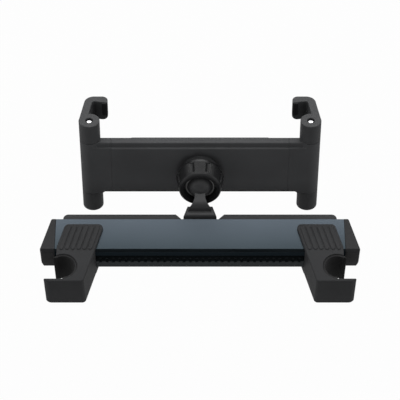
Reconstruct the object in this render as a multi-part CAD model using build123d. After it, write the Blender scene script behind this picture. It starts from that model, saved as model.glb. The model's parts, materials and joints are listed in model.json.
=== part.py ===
from build123d import *
import os
from math import atan, cos, degrees, radians, sin

# Headrest tablet mount: a slotted rail carries two sliding hooks that grip the posts of a
# headrest, and an arm with a ball carries a spring-closed tablet holder with folding claws.
# Millimetres. X runs along the rail, +Y points from the posts to the holder, +Z is up.
# The origin lies midway between the two posts, level with the underside of the hooks.

# Rail and its aluminium top plate
RAIL_LENGTH = 180.0
RAIL_DEPTH = 23.6
RAIL_HEIGHT = 19.1
RAIL_FRONT = 12.4
PLATE_THICK = 1.8
PLATE_BEVEL = 1.6
LIP_TAPER = 0.4
CELL_WALL = 2.0
CELL_FRONT = 12.0
CENTRE_SOLID = 16.0
OVERRUN = 1.0

# T-slot for the hooks and the rack along its lower lip
SLOT_HEIGHT = 6.4
SLOT_FLOOR = 7.0
SLOT_LIP = 4.5
SLOT_DEPTH = 9.5
SLOT_UNDERCUT = 1.2
RACK_PITCH = 4.0
RACK_GAP = 1.7
RACK_DEPTH = 1.2
RACK_WIDTH = 2.4

# Slanted end caps and rear cover
SLANT = 0.28
CAP_REACH = 9.4
CAP_LOWER = 7.6
CAP_DRAW = 1.2
CAP_PLUG = 6.0
CAP_ROUND = 1.2
COVER_INSET = 4.4
COVER_DEPTH = 4.2
COVER_DROP = 1.0
COVER_ROUND = 3.2
COVER_NOTCH = 10.9
TAB_SIZE = 3.0
TAB_LENGTH = 1.8
TAB_FIT = 0.05
TAB_INNER_X = 30.0
TAB_FROM_END = 14.0

# Hooks
HOOK_FROM_END = 9.6
HOOK_WIDTH = 24.4
HOOK_FRONT = 10.9
HOOK_BACK = 31.2
HOOK_PLATE = 1.9
HOOK_LIP = 4.6
HOOK_LIP_REACH = 7.0
HOOK_ROUND_OUTER = 4.0
HOOK_ROUND_INNER = 2.5
HOOK_ROUND_BACK = 3.0
HOOK_EDGE = 0.9
HOOK_UNDER_EDGE = 0.8
SLIDE_GAP = 0.25
POST_OUTWARD = 3.8
NOTCH_RADIUS = 8.9
NOTCH_UPPER = 6.4
JAW_REACH = 4.3
NEAR_JAW = 2.2
LINER_THICK = 1.5
LINER_INSET = 0.5
RIB_COUNT = 6
RIB_PITCH = 3.6
RIB_WIDTH = 2.4
RIB_LENGTH = 18.2
RIB_HEIGHT = 0.5
RIB_MIDDLE = 20.9
TONGUE_INWARD = 2.4
TONGUE_LENGTH = 20.0
LEAF_LENGTH = 14.0
LEAF_THICK = 0.3
LEAF_POCKET = 1.2
LEAF_CLEAR = 0.2
LEAF_SLOPE = 0.25

# Ball arm
BALL_RADIUS = 8.5
BALL_BEHIND = 21.0
BALL_ABOVE = 9.0
STEM_DEG = 16.0
STEM_START = 5.0
STEM_THICK = 6.0
STEM_FRONT = 4.3
STEM_BACK = 7.6
STEM_BEND = 5.0
STEM_NECK = 1.0
NECK_WIDTH = 6.6
ROOT_WIDTH = 14.6
FOOT_WIDTH = 21.4
FOOT_BACK_WIDTH = 15.8
FOOT_DEPTH = 8.5
FOOT_GAP = 1.0
FOOT_ABOVE = 2.4
FOOT_BOTTOM = 1.6
FOOT_ROUND = 1.6
FOOT_SCREW_X = 4.2
FOOT_SCREW_ABOVE = 5.5
FOOT_SCREW_RADIUS = 2.0
FOOT_SCREW_HEAD = 2.8
FOOT_SCREW_GRIP = 6.5
FOOT_SCREW_SINK = 2.5

# Ball joint of the holder
REST_TILT_DEG = 13.0
BALL_FIT = 0.06
CUP_THICK = 1.4
CUP_EDGE = 7.4
PLATE_FROM_BALL = 12.8
COLLAR_RADIUS = 11.6
COLLAR_EDGE = -0.2
SEAT_DEG = 25.0
SPIGOT_RADIUS = 7.0
SPIGOT_LENGTH = 1.2
THREAD_FIT = 0.08
CLAMP_LENGTH = 3.0
CLAMP_FIT = 0.15
NUT_BACK = 6.9
NUT_LENGTH = 13.3
NUT_RADIUS_BACK = 15.0
NUT_RADIUS_NOSE = 13.2
NUT_MOUTH = 10.4
NUT_THROAT = 8.9
NUT_LOBES = 8
NUT_EDGE = 1.0
NUT_RING = 2.6
NUT_RIM = 2.6
NUT_RIM_RADIUS = 14.2
FLUTE_RADIUS = 2.2
FLUTE_DEPTH = 1.3

# Holder body
BODY_LENGTH = 111.6
BODY_HEIGHT = 41.6
BODY_DEPTH = 5.3
PLATEAU_HEIGHT = 35.0
PLATEAU_DEPTH = 1.7
SHELL_SPLIT = 2.6
BODY_ROUND = 0.6
ROOM_DEPTH = 2.6
ROOM_HEIGHT = 35.0
ROOM_WALL = 1.4
CENTRE_WEB = 5.8
SPRING_RADIUS = 1.6
SPRING_WALL = 0.5
SPRING_CLEAR = 0.25
PAD_LENGTH = 86.0
PAD_HEIGHT = 40.8
PAD_THICK = 0.6
SCREW_Z = 13.0
SCREW_RADIUS = 1.0
SCREW_HEAD = 1.9
SCREW_HEAD_DEPTH = 1.2
SCREW_FIT = 0.02

# Arms, columns and claws
COLUMN_X = 69.0
COLUMN_RADIUS = 6.55
COLUMN_PROUD = 0.15
CLAW_HEIGHT = 14.4
CLAW_SEAM = 0.2
ARM_GAP = 0.05
PRONG_THICK = 2.2
PRONG_HEIGHT = 7.6
PRONG_END = 3.2
CROSSBAR = 6.0
FLARE_LENGTH = 6.5
FLARE_RISE = 2.8
PIN_RADIUS = 1.6
PIN_FIT = 0.05
PIN_RECESS = 0.8
PIN_SINK_RADIUS = 2.3
PIN_SINK_DEPTH = 1.2
CLAW_REACH = 23.4
CLAW_WEB = 5.05
CLAW_SLOPE = 0.15
CLAW_LIP = 4.7
CLAW_HANG = 1.7
CLAW_TIP = 10.8
CLAW_SHOULDER = 6.0
CLAW_NOSE = 3.6
CLAW_INSIDE = 1.6
CLAW_TIP_ROUND = 4.0
CLAW_PAD = 0.9
CLAW_PAD_WIDTH = 3.2
CLAW_PAD_INSET = 0.4

# Places worked out from the sizes above
RAIL_BOTTOM = HOOK_LIP + SLIDE_GAP
RAIL_TOP = RAIL_BOTTOM + RAIL_HEIGHT
RAIL_BACK = RAIL_FRONT + RAIL_DEPTH
SLOT_LOW = RAIL_BOTTOM + SLOT_FLOOR
SLOT_HIGH = SLOT_LOW + SLOT_HEIGHT
HOOK_X = RAIL_LENGTH / 2 - HOOK_FROM_END
HOOK_HEIGHT = RAIL_TOP + SLIDE_GAP + HOOK_PLATE
POST_X = HOOK_X + POST_OUTWARD
TONGUE_X = HOOK_X - TONGUE_INWARD
BALL_Y = RAIL_BACK + BALL_BEHIND
BALL_Z = RAIL_TOP + BALL_ABOVE
PLATEAU_FACE = PLATE_FROM_BALL
BODY_BACK = PLATEAU_FACE + PLATEAU_DEPTH
SPLIT_FACE = BODY_BACK + SHELL_SPLIT
BODY_FRONT = BODY_BACK + BODY_DEPTH
ROOM_BACK = BODY_BACK + ROOM_WALL
ROOM_FRONT = ROOM_BACK + ROOM_DEPTH
ROOM_MIDDLE = (ROOM_BACK + ROOM_FRONT) / 2
ARM_START = BODY_LENGTH / 2 + ARM_GAP
COLUMN_U = PLATEAU_FACE - COLUMN_PROUD + COLUMN_RADIUS
COLUMN_HALF = BODY_HEIGHT / 2
CUP_INNER = BALL_RADIUS + BALL_FIT
CUP_OUTER = CUP_INNER + CUP_THICK


def block(x_low, x_high, y_low, y_high, z_low, z_high):
    """Box between two corners."""
    middle = ((x_low + x_high) / 2, (y_low + y_high) / 2, (z_low + z_high) / 2)
    return Pos(*middle) * Box(x_high - x_low, y_high - y_low, z_high - z_low)


def prism_x(outline, x_low, x_high):
    """Outline of (y, z) points carried from x_low to x_high."""
    face = Plane.YZ.offset(x_low) * make_face(Polyline(*outline, close=True))
    return extrude(face, amount=x_high - x_low)


def prism_y(outline, y_low, y_high):
    """Outline of (x, z) points carried from y_low to y_high."""
    plane = Plane(origin=(0, y_high, 0), x_dir=(1, 0, 0), z_dir=(0, -1, 0))
    return extrude(plane * make_face(Polyline(*outline, close=True)), amount=y_high - y_low)


def prism_z(outline, z_low, z_high):
    """Outline of (x, y) points carried from z_low to z_high."""
    face = Pos(0, 0, z_low) * make_face(Polyline(*outline, close=True))
    return extrude(face, amount=z_high - z_low)


def turned(outline):
    """Outline of (radius, y) points turned about the Y axis."""
    return revolve(make_face(Polyline(*outline, close=True)), axis=Axis.Y)


def rod_y(radius, y_low, y_high, x=0.0, z=0.0):
    """Round bar along Y."""
    return Pos(x, (y_low + y_high) / 2, z) * Rot(X=90) * Cylinder(radius, y_high - y_low)


def rod_z(radius, z_low, z_high, x=0.0, y=0.0):
    """Round bar along Z."""
    return Pos(x, y, (z_low + z_high) / 2) * Cylinder(radius, z_high - z_low)


def other_side(piece):
    """The same piece on the left."""
    return mirror(piece, about=Plane.YZ)


def both_sides(piece):
    """A piece and its mirror image."""
    return piece + other_side(piece)


# The rail


def top_plate():
    """Anodised plate with a bevelled front edge that folds down to the slot."""
    outline = [
        (RAIL_FRONT, SLOT_HIGH),
        (RAIL_FRONT, RAIL_TOP - PLATE_BEVEL),
        (RAIL_FRONT + PLATE_BEVEL, RAIL_TOP),
        (RAIL_BACK, RAIL_TOP),
        (RAIL_BACK, RAIL_TOP - PLATE_THICK),
        (RAIL_FRONT + PLATE_THICK, RAIL_TOP - PLATE_THICK),
        (RAIL_FRONT + PLATE_THICK, SLOT_HIGH),
    ]
    return prism_x(outline, -RAIL_LENGTH / 2, RAIL_LENGTH / 2)


def rack_gaps():
    """Notches of the rack in the lower lip of the slot, in equal steps from the detents' places."""
    inward = int((TONGUE_X - RACK_GAP) / RACK_PITCH)
    outward = int((RAIL_LENGTH / 2 - RACK_GAP - TONGUE_X) / RACK_PITCH)
    places = [TONGUE_X + i * RACK_PITCH for i in range(-inward, outward + 1)]
    near = RAIL_FRONT - OVERRUN
    far = RAIL_FRONT + RACK_WIDTH
    half = RACK_GAP / 2
    gaps = [block(x - half, x + half, near, far, SLOT_LOW - RACK_DEPTH, SLOT_LOW + OVERRUN) for x in places]
    return gaps + [other_side(gap) for gap in gaps]


def cover_tabs(fit, depth):
    """Square tabs of the rear cover, or with a fit the pockets that take them."""
    half = TAB_SIZE / 2 + fit
    height = (RAIL_BOTTOM + RAIL_TOP) / 2
    tabs = []
    for x in (TAB_INNER_X, RAIL_LENGTH / 2 - TAB_FROM_END):
        tab = block(x - half, x + half, RAIL_BACK - depth, RAIL_BACK + OVERRUN, height - half, height + half)
        tabs += [tab, other_side(tab)]
    return tabs


def foot_screw_places():
    """Screws of the ball arm, as (x, z)."""
    return [(side * FOOT_SCREW_X, RAIL_BOTTOM + FOOT_SCREW_ABOVE) for side in (-1, 1)]


def track():
    """Moulded track with the T-slot, the rack and two long cells at the back."""
    lip = RAIL_FRONT + SLOT_LIP
    deep = RAIL_FRONT + SLOT_DEPTH
    under_plate = RAIL_TOP - PLATE_THICK
    outline = [
        (RAIL_FRONT + LIP_TAPER, RAIL_BOTTOM),
        (RAIL_BACK, RAIL_BOTTOM),
        (RAIL_BACK, under_plate),
        (RAIL_FRONT + PLATE_THICK, under_plate),
        (RAIL_FRONT + PLATE_THICK, SLOT_HIGH),
        (lip, SLOT_HIGH),
        (lip, SLOT_HIGH + SLOT_UNDERCUT),
        (deep, SLOT_HIGH + SLOT_UNDERCUT),
        (deep, SLOT_LOW - SLOT_UNDERCUT),
        (lip, SLOT_LOW - SLOT_UNDERCUT),
        (lip, SLOT_LOW),
        (RAIL_FRONT, SLOT_LOW),
    ]
    body = prism_x(outline, -RAIL_LENGTH / 2, RAIL_LENGTH / 2)
    cell = block(
        CENTRE_SOLID,
        RAIL_LENGTH / 2 + OVERRUN,
        RAIL_FRONT + CELL_FRONT,
        RAIL_BACK - CELL_WALL,
        RAIL_BOTTOM + CELL_WALL,
        under_plate - CELL_WALL,
    )
    reach = RAIL_BACK - FOOT_SCREW_GRIP - SLIDE_GAP
    holes = [rod_y(FOOT_SCREW_RADIUS + SCREW_FIT, reach, RAIL_BACK, x, z) for x, z in foot_screw_places()]
    return body - both_sides(cell) - rack_gaps() - cover_tabs(TAB_FIT, TAB_LENGTH + SLIDE_GAP) - holes


def end_cap():
    """Right end cap: slanted in plan, drawn in below the slot, plugged into the track's cell."""
    inner = RAIL_LENGTH / 2
    tip = inner + CAP_REACH
    heel = tip - SLANT * RAIL_DEPTH
    waist = RAIL_BOTTOM + CAP_LOWER
    plan = [(inner, RAIL_FRONT), (tip, RAIL_FRONT), (heel, RAIL_BACK), (inner, RAIL_BACK)]
    body = prism_z(plan, RAIL_BOTTOM, RAIL_TOP)
    body = fillet(body.edges().filter_by(Axis.Z).sort_by(Axis.X)[-2:], CAP_ROUND)
    section = [
        (RAIL_FRONT + CAP_DRAW, RAIL_BOTTOM),
        (RAIL_FRONT, waist),
        (RAIL_FRONT, RAIL_TOP - PLATE_BEVEL),
        (RAIL_FRONT + PLATE_BEVEL, RAIL_TOP),
        (RAIL_BACK, RAIL_TOP),
        (RAIL_BACK, waist),
        (RAIL_BACK - CAP_DRAW, RAIL_BOTTOM),
    ]
    undercut = prism_y([(-CAP_DRAW, RAIL_BOTTOM), (0, RAIL_BOTTOM), (0, waist)], -RAIL_DEPTH, 2 * RAIL_DEPTH)
    undercut = Pos(tip, RAIL_FRONT) * Rot(Z=degrees(atan(SLANT))) * undercut
    plug = block(
        inner - CAP_PLUG,
        inner,
        RAIL_FRONT + CELL_FRONT + SLIDE_GAP,
        RAIL_BACK - CELL_WALL - SLIDE_GAP,
        RAIL_BOTTOM + CELL_WALL + SLIDE_GAP,
        RAIL_TOP - PLATE_THICK - CELL_WALL - SLIDE_GAP,
    )
    return (body & prism_x(section, inner, tip)) - undercut + plug


def rear_cover():
    """Strip behind the track with rounded corners, snap tabs and a notch for the ball arm."""
    half = RAIL_LENGTH / 2 - COVER_INSET
    far = RAIL_BACK + COVER_DEPTH
    notch_outer = COVER_NOTCH + COVER_DEPTH
    plan = [(COVER_NOTCH, RAIL_BACK), (half, RAIL_BACK), (half, far), (notch_outer, far)]
    side = prism_z(plan, RAIL_BOTTOM, RAIL_TOP - COVER_DROP)
    corner = side.edges().filter_by(Axis.Z).sort_by(lambda edge: edge.center().X + edge.center().Y)[-1]
    side = fillet(corner, COVER_ROUND)
    bridge = block(
        -notch_outer,
        notch_outer,
        RAIL_BACK,
        far - COVER_DEPTH / 2,
        RAIL_BOTTOM,
        RAIL_BOTTOM + FOOT_BOTTOM - SLIDE_GAP,
    )
    return both_sides(side) + bridge + cover_tabs(0, TAB_LENGTH)


# The hooks


def hook_plan(y_low, y_high):
    """Slanted plan of the right hook between two depths."""
    half = HOOK_WIDTH / 2
    low = HOOK_X - SLANT * y_low
    high = HOOK_X - SLANT * y_high
    return [(low - half, y_low), (low + half, y_low), (high + half, y_high), (high - half, y_high)]


def post_space(radius, z_low, z_high):
    """Room of the post: a round seat, open to the outside below the hook's upper jaw."""
    seat = rod_z(radius, z_low, z_high, POST_X)
    mouth = block(POST_X, POST_X + HOOK_WIDTH, -NOTCH_RADIUS, NOTCH_UPPER, z_low, z_high)
    return seat + mouth


def finger_ribs():
    """Rounded finger ribs along the slant of the hook's plate."""
    middle = HOOK_X - SLANT * RIB_MIDDLE
    first = middle - RIB_PITCH * (RIB_COUNT - 1) / 2
    root = HOOK_HEIGHT - HOOK_PLATE / 2
    shape = Rot(Z=90 + degrees(atan(SLANT))) * SlotOverall(RIB_LENGTH, RIB_WIDTH)
    places = [Pos(first + i * RIB_PITCH, RIB_MIDDLE, root) for i in range(RIB_COUNT)]
    return [extrude(place * shape, amount=HOOK_PLATE / 2 + RIB_HEIGHT) for place in places]


def tongue():
    """T-tongue that holds the right hook in the slot."""
    left = TONGUE_X - TONGUE_LENGTH / 2
    right = TONGUE_X + TONGUE_LENGTH / 2
    low = SLOT_LOW + SLIDE_GAP
    high = SLOT_HIGH - SLIDE_GAP
    behind_lip = RAIL_FRONT + SLOT_LIP + SLIDE_GAP
    deep = RAIL_FRONT + SLOT_DEPTH - SLIDE_GAP
    neck = block(left, right, RAIL_FRONT - OVERRUN, deep, low, high)
    return neck + block(left, right, behind_lip, deep, low - SLOT_UNDERCUT, high + SLOT_UNDERCUT)


def leaf_roof():
    """Height of the pocket's roof, where the detent spring sits."""
    return SLOT_LOW + SLIDE_GAP + LEAF_POCKET


def leaf_pocket():
    """Pocket in the underside of the right tongue for the detent spring."""
    half = LEAF_LENGTH / 2 + SLIDE_GAP
    rail_side = RAIL_FRONT - SLIDE_GAP
    return block(TONGUE_X - half, TONGUE_X + half, rail_side, RAIL_FRONT + RACK_WIDTH, SLOT_LOW, leaf_roof())


def hook():
    """Right hook: notched block, ribbed plate over the rail, lip under it, T-tongue in the slot."""
    rail_side = RAIL_FRONT - SLIDE_GAP
    plan = hook_plan(-HOOK_FRONT, rail_side)
    plan[1] = (plan[1][0] + NEAR_JAW, -HOOK_FRONT)
    front = prism_z(plan, 0, HOOK_HEIGHT)
    near = front.edges().filter_by(Axis.Z).group_by(Axis.Y)[0].sort_by(Axis.X)
    front = fillet(near[-1], HOOK_ROUND_OUTER)
    near = front.edges().filter_by(Axis.Z).sort_by(Axis.X)
    front = fillet(near.filter_by(lambda edge: edge.center().Y < 0)[0], HOOK_ROUND_INNER)
    sole = front.faces().sort_by(Axis.Z)[0].edges()
    front = chamfer(sole.filter_by(lambda edge: edge.center().Y < rail_side - OVERRUN), HOOK_UNDER_EDGE)

    plate = prism_z(hook_plan(rail_side - OVERRUN, HOOK_BACK), HOOK_HEIGHT - HOOK_PLATE, HOOK_HEIGHT)
    plate = fillet(plate.edges().filter_by(Axis.Z).group_by(Axis.Y)[-1], HOOK_ROUND_BACK)
    lip = prism_z(hook_plan(rail_side - OVERRUN, RAIL_FRONT + HOOK_LIP_REACH), 0, HOOK_LIP)
    body = front + plate + lip
    body = fillet(body.faces().sort_by(Axis.Z)[-1].edges(), HOOK_EDGE)
    body = body + tongue() + finger_ribs()
    high = HOOK_HEIGHT + RIB_HEIGHT
    jaw_end = block(POST_X + JAW_REACH, POST_X + HOOK_WIDTH, 0, HOOK_BACK, -OVERRUN, high)
    return body - post_space(NOTCH_RADIUS, -OVERRUN, high) - jaw_end - leaf_pocket()


def post_liner():
    """Rubber liner of the right hook's round seat."""
    low = LINER_INSET
    high = HOOK_HEIGHT - LINER_INSET
    ring = rod_z(NOTCH_RADIUS, low, high, POST_X) - rod_z(NOTCH_RADIUS - LINER_THICK, low, high, POST_X)
    return ring - block(POST_X, POST_X + HOOK_WIDTH, -HOOK_WIDTH, NOTCH_UPPER, low, high)


def detent_spring():
    """Leaf spring under the right tongue: flat wings and a nose that drops into a gap of the rack."""
    roof = leaf_roof()
    under = roof - LEAF_THICK
    half = LEAF_LENGTH / 2
    nose = RACK_GAP / 2 - LEAF_CLEAR
    tip_z = SLOT_LOW - RACK_DEPTH + LEAF_CLEAR
    tip = nose - LEAF_SLOPE * (SLOT_LOW - tip_z)
    root = nose + LEAF_SLOPE * (under - SLOT_LOW)
    right_half = [(root - LEAF_THICK, roof), (half, roof), (half, under), (root, under), (tip, tip_z)]
    left_half = [(-x, z) for x, z in reversed(right_half)]
    outline = [(TONGUE_X + x, z) for x, z in right_half + left_half + [(0, tip_z + LEAF_THICK)]]
    return prism_y(outline, RAIL_FRONT + LEAF_CLEAR, RAIL_FRONT + RACK_WIDTH - LEAF_CLEAR)


# The ball arm


def stem_line(along, above):
    """Point of the stem's side view, as (y, z), from the ball's centre along the falling stem."""
    run = cos(radians(STEM_DEG))
    fall = sin(radians(STEM_DEG))
    return BALL_Y - along * run - above * fall, BALL_Z - along * fall + above * run


def stem():
    """Wedge between foot and ball: a bent side view cut to a plan that sweeps out towards the rail."""
    front = RAIL_BACK + STEM_FRONT
    back = RAIL_BACK + STEM_BACK
    root = RAIL_TOP
    half = STEM_THICK / 2
    slope = sin(radians(STEM_DEG)) / cos(radians(STEM_DEG))
    top = stem_line(STEM_START, half)
    under = stem_line(STEM_START, -half)
    bend = (front, top[1] - slope * (top[0] - front))
    heel = (back, under[1] - slope * (under[0] - back))
    side = make_face(Polyline(top, bend, (front, root), (back, root), heel, under, close=True))
    side = fillet(side.vertices().sort_by_distance((*bend, 0))[0], STEM_BEND)
    side = extrude(Plane.YZ * side, amount=ROOT_WIDTH / 2, both=True)

    wide = ROOT_WIDTH / 2
    narrow = NECK_WIDTH / 2
    flare_end = BALL_Y - BALL_RADIUS - STEM_NECK
    flank = TangentArc((narrow, flare_end), (wide, front), tangent=(0, -1))
    rest = Polyline((wide, front), (0, front), (0, BALL_Y), (narrow, BALL_Y), (narrow, flare_end))
    plan = extrude(make_face([flank, rest]), amount=BALL_Z + BALL_RADIUS)
    return side & both_sides(plan)


def foot_plan(near):
    """Plan of the foot from a depth to its back, narrowing away from the rail."""
    narrowing = (FOOT_WIDTH - FOOT_BACK_WIDTH) / 2 / FOOT_DEPTH
    wide = FOOT_WIDTH / 2 - narrowing * (near - RAIL_BACK)
    narrow = FOOT_BACK_WIDTH / 2
    far = RAIL_BACK + FOOT_DEPTH
    return [(-wide, near), (wide, near), (narrow, far), (-narrow, far)]


def ball_arm():
    """One casting: foot on the rail's back, stem that rises and narrows, and the ball."""
    foot_back = RAIL_BACK + FOOT_DEPTH
    foot_top = RAIL_TOP + FOOT_ABOVE
    ball = Pos(0, BALL_Y, BALL_Z) * Sphere(BALL_RADIUS)
    shoulder = RAIL_TOP - COVER_DROP
    head = prism_z(foot_plan(RAIL_BACK + FOOT_GAP), shoulder, foot_top)
    rim = head.faces().sort_by(Axis.Z)[-1].edges()
    head = fillet(rim, FOOT_ROUND)
    heel = prism_z(foot_plan(RAIL_BACK), RAIL_BOTTOM + FOOT_BOTTOM, shoulder)
    holes = []
    for x, z in foot_screw_places():
        holes.append(rod_y(FOOT_SCREW_RADIUS + SCREW_FIT, RAIL_BACK, foot_back, x, z))
        holes.append(rod_y(FOOT_SCREW_HEAD + SCREW_FIT, foot_back - FOOT_SCREW_SINK, foot_back, x, z))
    return stem() + ball + head + heel - holes


def foot_screws():
    """Two screws through the foot into the track, heads sunk in the foot's back."""
    seat = RAIL_BACK + FOOT_DEPTH - FOOT_SCREW_SINK
    tip = RAIL_BACK - FOOT_SCREW_GRIP
    screws = []
    for x, z in foot_screw_places():
        shank = rod_y(FOOT_SCREW_RADIUS, tip, seat, x, z)
        screws.append(shank + rod_y(FOOT_SCREW_HEAD, seat, seat + FOOT_SCREW_SINK - SLIDE_GAP, x, z))
    return Compound(children=screws)


# The ball joint. From here on the ball's centre is the origin, with the holder on the +Y side.


def friction_cup():
    """Plastic cap behind the ball, free to turn between the ball and its socket."""
    shell = Sphere(CUP_OUTER) - Sphere(CUP_INNER)
    return shell & block(-CUP_OUTER, CUP_OUTER, CUP_EDGE, CUP_OUTER, -CUP_OUTER, CUP_OUTER)


def clamp_ring():
    """Ring that the nut presses on the front of the ball, with a cone that touches the ball all round."""
    back = COLLAR_EDGE - CLAMP_FIT
    front = back - CLAMP_LENGTH
    middle = (back + front) / 2
    touch = (CUP_INNER**2 - middle**2) ** 0.5
    slope = -middle / touch
    outer = COLLAR_RADIUS - CLAMP_FIT
    near = touch + slope * (back - middle)
    far = touch + slope * (front - middle)
    return turned([(near, back), (outer, back), (outer, front), (far, front)])


def lock_nut():
    """Tapered nut with a flared mouth, flutes along the taper and plain rings before and behind them."""
    bore = COLLAR_RADIUS + THREAD_FIT
    seat = COLLAR_EDGE - 2 * CLAMP_FIT - CLAMP_LENGTH
    nose = NUT_BACK - NUT_LENGTH
    rim_front = NUT_BACK - NUT_RIM
    outline = [
        (bore, rim_front),
        (NUT_RADIUS_BACK, rim_front),
        (NUT_RADIUS_NOSE, nose + NUT_EDGE),
        (NUT_RADIUS_NOSE - NUT_EDGE, nose),
        (NUT_MOUTH, nose),
        (NUT_THROAT, seat),
        (bore, seat),
    ]
    taper = (NUT_RADIUS_BACK - NUT_RADIUS_NOSE) / (rim_front - nose - NUT_EDGE)
    flute = rod_y(FLUTE_RADIUS, nose + NUT_RING - rim_front, OVERRUN, FLUTE_RADIUS - FLUTE_DEPTH)
    flute = Pos(NUT_RADIUS_BACK, rim_front) * Rot(Z=-degrees(atan(taper))) * flute
    step = 360 / NUT_LOBES
    cone = turned(outline) - [Rot(Y=step * (i + 0.5)) * flute for i in range(NUT_LOBES)]
    rim = rod_y(NUT_RIM_RADIUS, rim_front, NUT_BACK) - rod_y(bore, rim_front, NUT_BACK)
    return cone + rim


def ball_socket():
    """Threaded collar on the holder's back, with a shallow cone at its bottom for the friction cup."""
    bore = CUP_OUTER + BALL_FIT
    lean = radians(SEAT_DEG)
    outline = [
        (0, bore / cos(lean)),
        (bore, bore * (1 - sin(lean)) / cos(lean)),
        (bore, COLLAR_EDGE),
        (COLLAR_RADIUS, COLLAR_EDGE),
        (COLLAR_RADIUS, PLATEAU_FACE),
        (SPIGOT_RADIUS, PLATEAU_FACE),
        (SPIGOT_RADIUS, PLATEAU_FACE + SPIGOT_LENGTH),
        (0, PLATEAU_FACE + SPIGOT_LENGTH),
    ]
    return turned(outline)


# The holder's body


def housing_screw_places():
    """Screws that hold the shells together, as z."""
    return (-SCREW_Z, SCREW_Z)


def inner_room(y_low, y_high):
    """Room of the right arm's prongs and of its spring, between two depths."""
    web = CENTRE_WEB / 2
    end = BODY_LENGTH / 2
    half = ROOM_HEIGHT / 2
    channel = SPRING_RADIUS + SPRING_CLEAR
    room = block(web, end, ROOM_BACK, ROOM_FRONT, -half, half)
    room += block(web, end, ROOM_MIDDLE - channel, ROOM_MIDDLE + channel, -channel, channel)
    return both_sides(room & block(web, end, y_low, y_high, -half, half))


def back_shell():
    """Back half of the body, with the raised plate that carries the ball socket."""
    half = BODY_LENGTH / 2
    tall = BODY_HEIGHT / 2
    plateau = PLATEAU_HEIGHT / 2
    plate = block(-half, half, PLATEAU_FACE, SPLIT_FACE, -plateau, plateau)
    plate = fillet(plate.edges().filter_by(Axis.X).group_by(Axis.Y)[0], BODY_ROUND)
    slab = block(-half, half, BODY_BACK, SPLIT_FACE, -tall, tall)
    slab = fillet(slab.edges().filter_by(Axis.X).group_by(Axis.Y)[0], BODY_ROUND)
    recess = rod_y(SPIGOT_RADIUS + SCREW_FIT, PLATEAU_FACE, PLATEAU_FACE + SPIGOT_LENGTH + SLIDE_GAP)
    holes = [rod_y(SCREW_RADIUS + SCREW_FIT, BODY_BACK, SPLIT_FACE, 0, z) for z in housing_screw_places()]
    return plate + slab - recess - inner_room(PLATEAU_FACE, SPLIT_FACE) - holes


def front_shell():
    """Front half of the body, behind the tablet."""
    half = BODY_LENGTH / 2
    tall = BODY_HEIGHT / 2
    slab = block(-half, half, SPLIT_FACE, BODY_FRONT, -tall, tall)
    slab = fillet(slab.edges().filter_by(Axis.X).group_by(Axis.Y)[-1], BODY_ROUND)
    head = BODY_FRONT - SCREW_HEAD_DEPTH
    holes = []
    for z in housing_screw_places():
        holes.append(rod_y(SCREW_RADIUS + SCREW_FIT, SPLIT_FACE, BODY_FRONT, 0, z))
        holes.append(rod_y(SCREW_HEAD + SCREW_FIT, head, BODY_FRONT, 0, z))
    return slab - inner_room(SPLIT_FACE, BODY_FRONT) - holes


def housing_screws():
    """Two screws that hold the shells together, heads under the pad."""
    seat = BODY_FRONT - SCREW_HEAD_DEPTH
    screws = []
    for z in housing_screw_places():
        shank = rod_y(SCREW_RADIUS, BODY_BACK, seat, 0, z)
        screws.append(shank + rod_y(SCREW_HEAD, seat, BODY_FRONT, 0, z))
    return Compound(children=screws)


def front_pad():
    """Soft pad that the tablet's back lies on."""
    half = PAD_LENGTH / 2
    tall = PAD_HEIGHT / 2
    return block(-half, half, BODY_FRONT, BODY_FRONT + PAD_THICK, -tall, tall)


def arm_spring():
    """Spring of the right arm, from the middle web to the arm's crossbar, as a plain tube."""
    start = CENTRE_WEB / 2
    length = ARM_START - CROSSBAR - start
    tube = Cylinder(SPRING_RADIUS, length) - Cylinder(SPRING_RADIUS - SPRING_WALL, length)
    return Pos(start + length / 2, ROOM_MIDDLE, 0) * Rot(Y=90) * tube


# Arms, columns and claws


def flare():
    """Web that sweeps the arm's raised plate out to the column, drawn above the plate."""
    edge = PLATEAU_HEIGHT / 2
    near = (ARM_START, edge)
    far = (ARM_START + FLARE_LENGTH, edge + FLARE_RISE)
    curve = TangentArc(near, far, tangent=(1, 0))
    sides = Polyline(far, (COLUMN_X, far[1]), (COLUMN_X, edge), near)
    plane = Plane(origin=(0, BODY_BACK, 0), x_dir=(1, 0, 0), z_dir=(0, -1, 0))
    return extrude(plane * make_face([curve, sides]), amount=PLATEAU_DEPTH)


def arm():
    """Right arm: two prongs that slide in the body, an end block and the middle of the column."""
    tall = BODY_HEIGHT / 2
    plateau = PLATEAU_HEIGHT / 2
    end_block = block(ARM_START, COLUMN_X, BODY_BACK, BODY_FRONT, -tall, tall)
    end_block = fillet(end_block.edges().filter_by(Axis.X), BODY_ROUND)
    plate = block(ARM_START, COLUMN_X, PLATEAU_FACE, BODY_BACK + BODY_ROUND, -plateau, plateau)
    column = rod_z(COLUMN_RADIUS, -COLUMN_HALF, COLUMN_HALF, COLUMN_X, COLUMN_U)
    back = ROOM_MIDDLE - PRONG_THICK / 2
    front = ROOM_MIDDLE + PRONG_THICK / 2
    high = ROOM_HEIGHT / 2 - SLIDE_GAP
    low = high - PRONG_HEIGHT
    crossbar = block(ARM_START - CROSSBAR, ARM_START, back, front, -high, high)
    upper_prong = block(PRONG_END, ARM_START, back, front, low, high)
    hole = rod_z(PIN_RADIUS + SCREW_FIT, -COLUMN_HALF, COLUMN_HALF, COLUMN_X, COLUMN_U)
    solid = end_block + plate + column + crossbar + below(flare())
    return solid + upper_prong + below(upper_prong) - hole


def hinge_pin():
    """Steel pin through the right column and both of its claws."""
    end = COLUMN_HALF + CLAW_SEAM + CLAW_HEIGHT - PIN_RECESS
    return rod_z(PIN_RADIUS, -end, end, COLUMN_X, COLUMN_U)


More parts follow.
